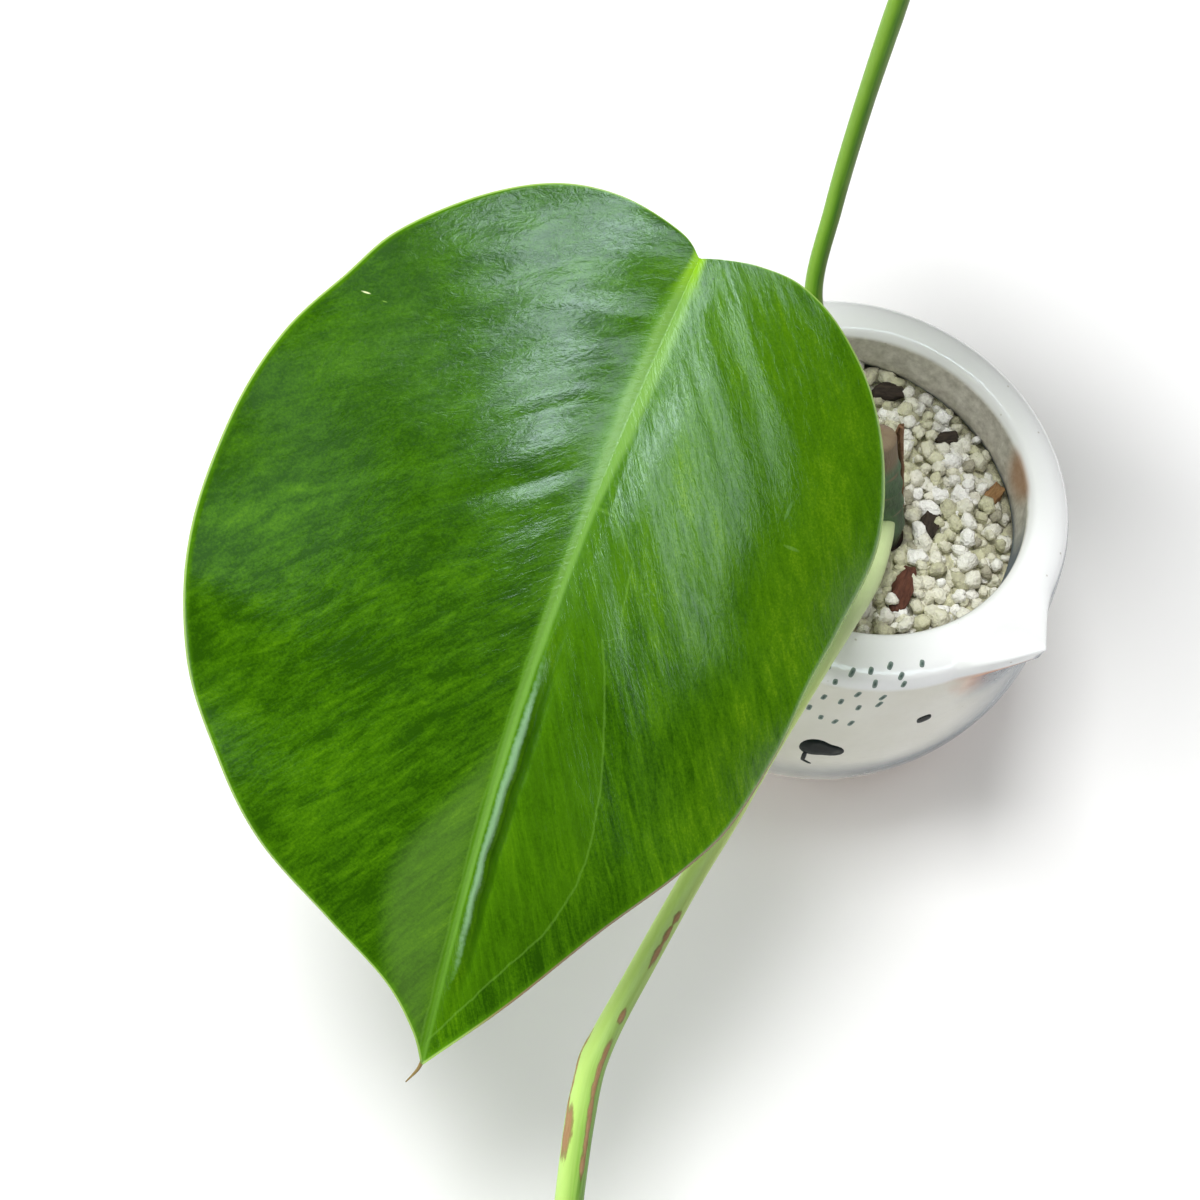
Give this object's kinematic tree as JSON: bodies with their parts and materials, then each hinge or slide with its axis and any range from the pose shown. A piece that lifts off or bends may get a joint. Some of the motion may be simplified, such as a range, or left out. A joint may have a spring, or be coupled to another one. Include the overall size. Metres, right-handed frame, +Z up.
{
  "type": "potted swiss cheese plant",
  "caption": "Young swiss cheese plant with entire heart-shaped leaves on long stalks, in a small round glazed pot with pinched ears, topped with perlite.",
  "frame": {"origin": "centre of the pot's flat base, on the surface it stands on", "axes": "+Z up, -Y towards the side of the pot with the painted face, +X to the right as seen from that side"},
  "size_m": [0.1716, 0.3838, 0.1991],
  "materials": {
    "glaze": "gloss",
    "potting_mix": "matte",
    "perlite": "matte",
    "red_bark": "matte",
    "tan_bark": "matte",
    "dark_bark": "matte",
    "stem": "satin",
    "dry_leaf_base": "matte",
    "stalk": "satin",
    "blade": "satin"
  },
  "bodies": {
    "root": {"pot": "glaze", "potting_mix": "potting_mix", "perlite_bed": "perlite", "bark_chip_red": "red_bark", "bark_chip_tan": "tan_bark", "bark_chip_dark_1": "dark_bark", "bark_chip_dark_2": "dark_bark", "bark_chip_dark_3": "dark_bark", "bark_chip_dark_4": "dark_bark", "bark_chip_dark_5": "dark_bark", "stem": "stem", "dry_leaf_base": "dry_leaf_base", "stalk_main": "stalk", "leaf_main": "blade", "stalk_upright": "stalk", "leaf_upright": "blade", "stalk_arching": "stalk", "leaf_arching": "blade"}
  },
  "joints": []
}
